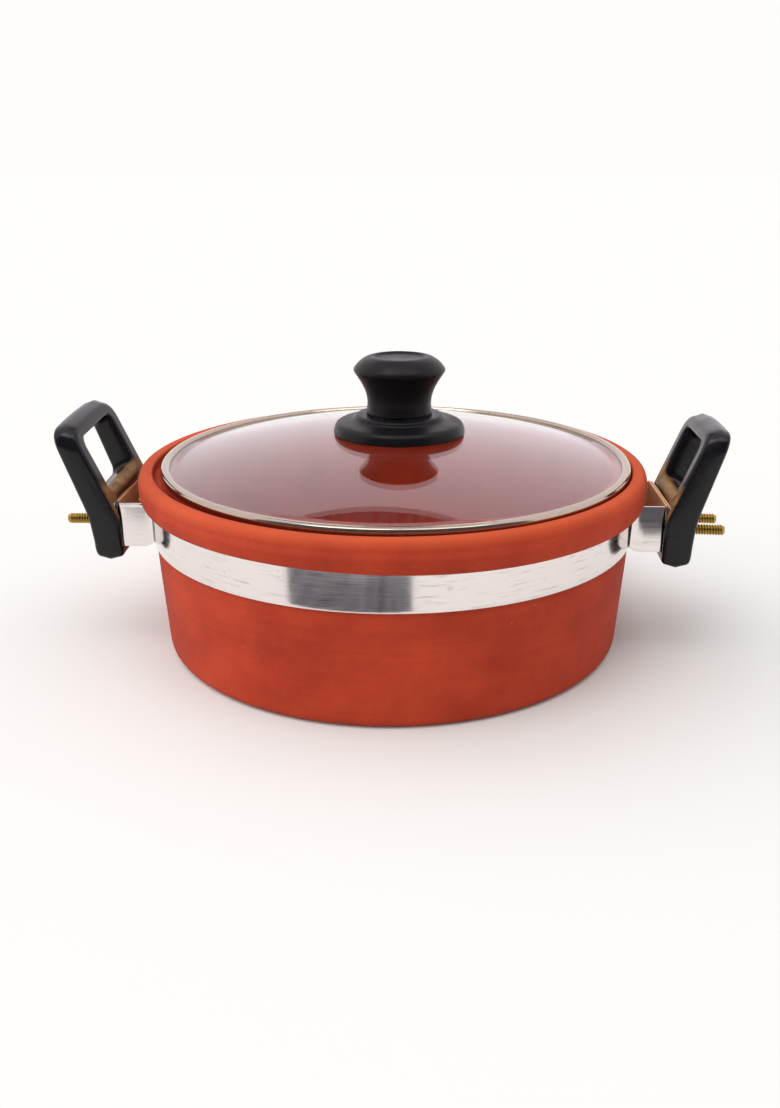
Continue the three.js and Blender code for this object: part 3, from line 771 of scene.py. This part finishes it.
def plating(name, light, dark, roughness):
    """Electroplated steel: a soft metal sheen that drifts in tone, duller in patches."""
    material, tree, shader = new_material(name, Metallic=1.0)
    at = node(tree, "ShaderNodeTexCoord").outputs["Object"]
    drift_size, dull_size = 5 * mm, 1.2 * mm
    drift = node(tree, "ShaderNodeTexNoise", values={"Scale": 1 / drift_size, "Detail": 4},
                 links={"Vector": at})
    colour = node(tree, "ShaderNodeMix", {"data_type": "RGBA"}, values={6: linear(dark), 7: linear(light)},
                  links={0: drift})
    dull = node(tree, "ShaderNodeTexNoise", values={"Scale": 1 / dull_size, "Detail": 3},
                links={"Vector": at})
    rough = node(tree, "ShaderNodeMapRange", values={"To Min": roughness - 0.1, "To Max": roughness + 0.15},
                 links={"Value": dull})
    feed(shader, {"Base Color": colour.outputs[2], "Roughness": rough})
    return material


yellow_zinc = plating("yellow zinc plating", "#d2ae58", "#957632", 0.33)
bright_zinc = plating("bright zinc plating", "#c9cbcd", "#9a9c9f", 0.32)
first_y = -bolt_spacing / 2
bolt = bolt_mesh("bolt_long", long_bolt)
bolt.transform(Matrix.Translation((bolt_seat, 0, 0)))
short = bolt_mesh("bolt_short", short_bolt)
short.transform(Matrix.Translation((bolt_seat, 0, 0)))
# The left handle is turned half round, so its front bolt is the last in its row.
bolts = joined("handle_bolts", [
    row_of(bolt, yellow_zinc, 2, first_y, "right"),
    row_of(bolt, yellow_zinc, 1, -first_y, "left"),
    row_of(short, yellow_zinc, 1, first_y, "left"),
])
places = [side + "_" + row for side in ("left", "right") for row in ("front", "rear")]
place("handle_bolts", bolts, yellow_zinc, "yellow_zinc", "pot", *("handle_bolt_" + at for at in places))
for kind, mesh in (("washer", washer_mesh), ("nut", nut_mesh)):
    name = "handle_" + kind
    rows = joined(name + "s", [row_of(mesh, bright_zinc, 2, first_y, side) for side in ("left", "right")])
    place(name + "s", rows, bright_zinc, "zinc", "pot", *(name + "_" + at for at in places))

# Glass lid
# A pressed dome of tempered glass, with a flat edge and a hole at the top for the knob's screw.
# It lies loose in the pot's seat, a little to the right as photographed.
glass_low, glass_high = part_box("lid_glass")
glass_thickness = 4 * mm
glass_radius = glass_high.x
dome_radius = glass_radius - 5 * mm
glass_hole = 5 * mm
glass_bevel = 0.8 * mm
flange_top = glass_low.z + glass_thickness
dome_rise = glass_high.z - flange_top
dome_sphere = (dome_radius ** 2 + dome_rise ** 2) / (2 * dome_rise)
lid_segments = 144
lid_lies = Matrix.Translation((1.5 * mm, 0, 0))
knob_sits = Matrix.Translation((3.2 * mm, 0, 0))


def dome(radius):
    """Height of the glass's upper face."""
    return flange_top + dome_rise - dome_sphere + math.sqrt(dome_sphere ** 2 - radius ** 2)


def in_lid(name, section, segments, loop, material, slot, *nodes, shape=None, sits=lid_lies):
    """A turned piece of the lid, set where the lid lies."""
    mesh = skin(name, turned(section, segments, shape), loop)
    mesh.transform(sits)
    return place(name, mesh, material, slot, "lid", *nodes)


def tempered_glass():
    """Clear glass with a smooth fire-polished face. Lamps shine through it."""
    material, tree, shader = new_material("clear tempered glass", IOR=1.52, Transmission_Weight=1.0,
                                          Roughness=0.0)
    at = node(tree, "ShaderNodeTexCoord").outputs["Object"]
    ripple_size = 45 * mm
    ripple = node(tree, "ShaderNodeTexNoise", values={"Scale": 1 / ripple_size, "Detail": 1},
                  links={"Vector": at})
    bump = node(tree, "ShaderNodeBump", values={"Strength": 0.2, "Distance": 0.1 * mm},
                links={"Height": ripple})
    tint = node(tree, "ShaderNodeMix", {"data_type": "RGBA"},
                values={6: linear("#fbfdfc"), 7: linear("#f5faf8")}, links={0: ripple})
    clear = node(tree, "ShaderNodeBsdfTransparent", values={"Color": linear("#f2f6f4")})
    rays = node(tree, "ShaderNodeLightPath")
    through = node(tree, "ShaderNodeMixShader",
                   links={0: rays.outputs["Is Shadow Ray"], 1: shader, 2: clear})
    feed(tree.nodes["Material Output"], {"Surface": through})
    feed(shader, {"Normal": bump, "Base Color": tint.outputs[2]})
    return material


dome_steps = 40
reaches = [glass_hole + (dome_radius - 4 * mm - glass_hole) * k / dome_steps for k in range(dome_steps + 1)]
upper = [(r, dome(r)) for r in reaches]
lower = [(r, dome(r) - glass_thickness) for r in reaches]
glass_section = eased([
    *lower,
    (dome_radius, glass_low.z, 3 * mm),
    (glass_radius, glass_low.z, glass_bevel),
    (glass_radius, flange_top, glass_bevel),
    (dome_radius, flange_top, 3 * mm),
    *upper[::-1],
])
in_lid("lid_glass_pressed", glass_section, lid_segments, True, tempered_glass(), "tempered_glass",
       "lid_glass")

# Lid ring
# A polished steel channel rolled round the edge of the glass, with a lip above it and one below.
ring_radius = ring_high.x
ring_sheet = 0.8 * mm
ring_lip = 4.1 * mm
ring_round = 2.2 * mm
inside_round = 1 * mm
lip_fall = 1 * mm
lip_tip = ring_radius - ring_lip
ring_section = eased([
    (lip_tip, ring_low.z, 0.3 * mm),
    (ring_radius, ring_low.z, ring_round),
    (ring_radius, ring_high.z, ring_round),
    (lip_tip + lip_fall, ring_high.z, 0.5 * mm),
    (lip_tip, ring_high.z - lip_fall, 0.2 * mm),
    (lip_tip, ring_high.z - lip_fall - 0.4 * mm, 0.1 * mm),
    (ring_radius - ring_sheet, ring_high.z - ring_sheet, inside_round),
    (ring_radius - ring_sheet, ring_low.z + ring_sheet, inside_round),
    (lip_tip, ring_low.z + ring_sheet, 0.3 * mm),
])
in_lid("lid_ring_rolled", ring_section, lid_segments, True,
       polished_steel("heat-tinted stainless steel", "#bfb2a2", "#7d6c5a"), "polished_steel", "lid_ring")

# Knob base
# A black phenolic disc with a rounded edge and a low collar, hollow underneath, that stands on the glass.
base_low, base_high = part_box("knob_base")
upper_gasket_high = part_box("lid_gasket_upper")[1]
screw_hole = 2.85 * mm
base_radius = base_high.x
knob_phenolic = phenolic("dull black phenolic moulding", 0.2, 0.28, 0.45)
collar_radius = 20.5 * mm
collar_height = 2.6 * mm
base_edge = 4.4 * mm
base_wall = 3 * mm
base_underside = upper_gasket_high.z + 0.3 * mm
knob_segments = 96
base_section = eased([
    (screw_hole, base_high.z),
    (collar_radius, base_high.z, 1.8 * mm),
    (collar_radius + 0.6 * mm, base_high.z - collar_height, 1.3 * mm, 4 * mm),
    (base_radius - 1.5 * mm, base_low.z + base_edge + 0.7 * mm, 2.4 * mm),
    (base_radius, base_low.z, 2.6 * mm, 0.8 * mm),
    (base_radius - base_wall, base_low.z, 0.6 * mm),
    (base_radius - base_wall, base_underside, 1 * mm),
    (screw_hole, base_underside),
])
in_lid("knob_base_moulded", base_section, knob_segments, True, knob_phenolic, "phenolic", "knob_base",
       sits=knob_sits)

# Knob
# A turned-looking phenolic knob that flares to a wide edge, with a shallow dish on top, over a brass insert.
knob_low, knob_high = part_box("knob")
insert_low, insert_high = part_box("knob_insert")
knob_radius = knob_high.x
stem_radius = 14.9 * mm
stem_foot = 15.4 * mm
waist = knob_low.z + 4.6 * mm
edge_low = knob_low.z + 19.6 * mm
edge_high = edge_low + 1.5 * mm
dish_radius = 11.6 * mm
dish_lip = 0.8 * mm
dish_depth = 0.9 * mm
bore_radius = insert_high.x + 0.3 * mm
bore_top = insert_high.z + 3.3 * mm


def swept(start, pull, push, end, steps=14):
    """A curve from start to end that leaves towards pull and arrives from push."""
    a, b, c, d = (Vector(p) for p in (start, pull, push, end))
    line = []
    for k in range(steps + 1):
        t = k / steps
        line.append(a * (1 - t) ** 3 + b * 3 * t * (1 - t) ** 2 + c * 3 * t ** 2 * (1 - t) + d * t ** 3)
    return line


flare = swept((stem_radius, waist), (stem_radius, waist + 6 * mm),
              (knob_radius - 3.4 * mm, edge_low - 5 * mm), (knob_radius, edge_low))
edge = swept((knob_radius, edge_low), (knob_radius + 0.25 * mm, edge_low + 0.4 * mm),
             (knob_radius + 0.25 * mm, edge_high - 0.4 * mm), (knob_radius, edge_high), 5)
crown = swept((knob_radius, edge_high), (knob_radius - 1.6 * mm, edge_high + 2.4 * mm),
              (dish_radius + dish_lip + 4 * mm, knob_high.z), (dish_radius + dish_lip, knob_high.z))
dish = swept((dish_radius + dish_lip, knob_high.z), (dish_radius, knob_high.z),
             (dish_radius, knob_high.z - dish_depth), (dish_radius - 1.2 * mm, knob_high.z - dish_depth), 6)
bore = [Vector((0, bore_top)), Vector((bore_radius, bore_top)), Vector((bore_radius, knob_low.z))]
foot = eased([(bore_radius, knob_low.z), (stem_foot, knob_low.z, 0.8 * mm), (stem_radius, waist)])
dish_middle = Vector((0, knob_high.z - dish_depth))
knob_section = bore + foot[1:-1] + flare + edge[1:-1] + crown + dish[1:] + [dish_middle]
in_lid("knob_moulded", spaced(knob_section, 1.5 * mm), knob_segments, False, knob_phenolic, "phenolic",
       "knob", sits=knob_sits)


def knurled(radius, angle, height):
    """A straight knurl on the insert's outside, which keys it in the moulding."""
    if radius < insert_high.x - 0.1 * mm:
        return radius, height
    return radius - 0.15 * mm * (1 + math.cos(24 * angle)), height


brass = plating("turned brass", "#c9a55a", "#a07d38", 0.3)
insert_section = eased([(bolt_hole, insert_low.z), (insert_high.x, insert_low.z, 0.4 * mm),
                        (insert_high.x, insert_high.z, 0.4 * mm), (bolt_hole, insert_high.z)], steps=2)
in_lid("knob_insert_turned", insert_section, knob_segments, True, brass, "brass", "knob_insert",
       shape=knurled, sits=knob_sits)

# Knob screw, washer and gaskets
# A plated pan-head screw comes up through a washer, a silicone gasket, the glass and a second gasket.
screw_low, screw_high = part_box("knob_screw")
head_height = 2.8 * mm
head_radius = 4.8 * mm
head_top = screw_low.z + head_height
screw_head = eased([(0, screw_low.z), (head_radius, screw_low.z, 3 * mm, 2 * mm),
                    (head_radius, head_top, 0.2 * mm), (bolt_radius, head_top)])
shank_length = screw_high.z - head_top
screw_shank = [Vector((bolt_radius, head_top + thread_step * k))
               for k in range(1, int((shank_length - 0.6 * mm) / thread_step))]
screw_tip = [Vector((bolt_radius - 0.6 * mm, screw_high.z)), Vector((0, screw_high.z))]
screw_mesh = skin("knob_screw", turned(screw_head + screw_shank + screw_tip, 24, threaded))
cross = 0.7 * mm
for wide, deep in ((cross, 2.4 * mm), (2.4 * mm, cross)):
    screw_mesh = carved("knob_screw_driven", screw_mesh, block((-wide, -deep, screw_low.z - mm),
                                                              (wide, deep, screw_low.z + 1.6 * mm)))
screw_mesh.transform(knob_sits)
place("knob_screw_driven", screw_mesh, bright_zinc, "zinc", "lid", "knob_screw")


def silicone():
    """Moulded silicone rubber: milky, soft in shine and slightly uneven."""
    material, tree, shader = new_material("milky silicone rubber", IOR=1.43)
    at = node(tree, "ShaderNodeTexCoord").outputs["Object"]
    cloud_size = 4 * mm
    cloud = node(tree, "ShaderNodeTexNoise", values={"Scale": 1 / cloud_size, "Detail": 3},
                 links={"Vector": at})
    colour = node(tree, "ShaderNodeMix", {"data_type": "RGBA"},
                  values={6: linear("#d9d5cc"), 7: linear("#c6c1b7")}, links={0: cloud})
    rough = node(tree, "ShaderNodeMapRange", values={"To Min": 0.5, "To Max": 0.7}, links={"Value": cloud})
    feed(shader, {"Base Color": colour.outputs[2], "Roughness": rough})
    return material


rubber = silicone()
for name, made, material, slot, soft in (
    ("lid_gasket_upper", "lid_gasket_upper_moulded", rubber, "silicone", 0.5 * mm),
    ("lid_gasket_lower", "lid_gasket_lower_moulded", rubber, "silicone", 0.5 * mm),
    ("lid_washer", "lid_washer_pressed", steel, "polished_steel", 0.3 * mm),
):
    low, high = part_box(name)
    disc = eased([(screw_hole, low.z, 0.2 * mm), (high.x, low.z, soft),
                  (high.x, high.z, soft), (screw_hole, high.z, 0.2 * mm)], steps=4)
    in_lid(made, disc, 72, True, material, slot, name, sits=knob_sits)

# Stage
# A pale paper floor in even studio light, with the camera where the photograph was taken from.
# Dark sheets, seen only in reflections, stand for the dim room that the band, ears and glass mirror.
def flat_sheet(name, corners):
    """A flat sheet on the stage, given its corners in order."""
    mesh = bpy.data.meshes.new(name)
    mesh.from_pydata(corners, [], [tuple(range(len(corners)))])
    sheet_object = bpy.data.objects.new(name, mesh)
    bpy.context.scene.collection.objects.link(sheet_object)
    return sheet_object


reach = 30.0
floor = flat_sheet("floor", [(-reach, -reach, 0), (reach, -reach, 0), (reach, reach, 0), (-reach, reach, 0)])
paper, _, paper_shader = new_material("pale paper", Roughness=0.9, Specular_IOR_Level=0.0)
paper_shader.inputs["Base Color"].default_value = linear("#dbd9d7")
floor.data.materials.append(paper)

card_height = 1 * mm
card = flat_sheet("dark_card", [(-0.109, -0.1765, card_height), (-0.205, -0.266, card_height),
                                (0.050, -0.330, card_height), (0.030, -0.205, card_height)])
hood_x, hood_y, hood_z = -0.12, 0.9, 1.38
hood_half_width, hood_half_height = 0.47, 0.4
hood_turns = [math.radians(6 * k) for k in range(60)]
hood = flat_sheet("dark_hood", [
    (hood_x + hood_half_width * math.cos(a), hood_y, hood_z + hood_half_height * math.sin(a))
    for a in hood_turns])
board_half, board_y, board_low, board_high = 1.2, -0.62, 2 * mm, 1.2
board = flat_sheet("dark_board", [(-board_half, board_y, board_low), (board_half, board_y, board_low),
                                  (board_half, board_y, board_high), (-board_half, board_y, board_high)])
for sheet_object in (card, board, hood):
    for ray in ("camera", "diffuse", "transmission", "shadow"):
        setattr(sheet_object, "visible_" + ray, False)
# The lower face of the lid's glass mirrors the hood too, and that light leaves through the upper face.
hood.visible_transmission = True
dark, dark_tree, dark_shader = new_material("dark card", Roughness=0.9)
drawn = node(dark_tree, "ShaderNodeMapping", values={"Scale": (70, 8, 8)},
             links={"Vector": node(dark_tree, "ShaderNodeTexCoord").outputs["Object"]})
streak = node(dark_tree, "ShaderNodeTexNoise", values={"Scale": 1, "Detail": 3}, links={"Vector": drawn})
streaked = node(dark_tree, "ShaderNodeMapRange", values={"From Min": 0.35, "From Max": 0.7},
                links={"Value": streak})
slate = node(dark_tree, "ShaderNodeMix", {"data_type": "RGBA"},
             values={6: linear("#22222b"), 7: linear("#75737b")}, links={0: streaked})
feed(dark_shader, {"Base Color": slate.outputs[2]})
for sheet_object in (card, board, hood):
    sheet_object.data.materials.append(dark)

# Studio light
# White surroundings, brightest from the left and from above, and two soft lamps high in front.
world = bpy.data.worlds.new("studio")
bpy.context.scene.world = world
world.use_nodes = True
sky = world.node_tree
rays = node(sky, "ShaderNodeLightPath").outputs
seen = rays["Is Camera Ray"]
for kind in ("Is Glossy Ray", "Is Transmission Ray"):
    seen = node(sky, "ShaderNodeMath", {"operation": "MAXIMUM"}, links={0: seen, 1: rays[kind]})
towards = node(sky, "ShaderNodeSeparateXYZ",
               links={"Vector": node(sky, "ShaderNodeTexCoord").outputs["Generated"]}).outputs
sides, above = (node(sky, "ShaderNodeMath", {"operation": "MULTIPLY"}, links={0: towards[a], 1: towards[a]})
                for a in "XZ")
least, from_sides, from_above, from_left = 0.27, 1.4, 1.1, -0.75
soft = node(sky, "ShaderNodeMath", {"operation": "MULTIPLY_ADD"}, values={1: from_sides, 2: least},
            links={0: sides})
for source, gain in ((above, from_above), (towards["X"], from_left)):
    soft = node(sky, "ShaderNodeMath", {"operation": "MULTIPLY_ADD"}, values={1: gain},
                links={0: source, 2: soft})
mirrored = node(sky, "ShaderNodeMix", {"data_type": "RGBA"},
                values={6: linear("#fefdfb"), 7: (1.06, 0.98, 1.03, 1)}, links={0: rays["Is Glossy Ray"]})
light = node(sky, "ShaderNodeMix", {"data_type": "RGBA"}, links={0: seen, 6: soft, 7: mirrored.outputs[2]})
feed(sky.nodes["Background"], {"Color": light.outputs[2]})

for name, x, y, z, strength in (("lamp_left", -0.35, -0.45, 1.3, 0.6), ("lamp_right", 0.4, -0.4, 1.3, 0.3)):
    lamp = bpy.data.lights.new(name, "SUN")
    lamp.angle = math.radians(30)
    lamp.energy = strength
    holder = bpy.data.objects.new(name, lamp)
    holder.location = (x, y, z)
    holder.rotation_euler = (-holder.location).to_track_quat("-Z", "Y").to_euler()
    bpy.context.scene.collection.objects.link(holder)

# Camera
# A short lens close to the pot, a little right of its middle and looking down.
# The photograph's height, the focal length and the shift aside are in its pixels.
camera_data = bpy.data.cameras.new("camera")
camera = bpy.data.objects.new("camera", camera_data)
bpy.context.scene.collection.objects.link(camera)
azimuth = math.radians(1.9)
pitch = math.radians(20.24)
ground_distance = 487 * mm
eye_height = 216 * mm
camera.location = (ground_distance * math.sin(azimuth), -ground_distance * math.cos(azimuth), eye_height)
camera.rotation_euler = (math.pi / 2 - pitch, 0, azimuth)
photo_height, focal_length, aside = 1108, 1052, -2.5
camera_data.sensor_width = 36
camera_data.lens = focal_length / photo_height * camera_data.sensor_width
camera_data.shift_x = aside / photo_height
bpy.context.scene.camera = camera
bpy.context.scene.view_settings.view_transform = "Standard"
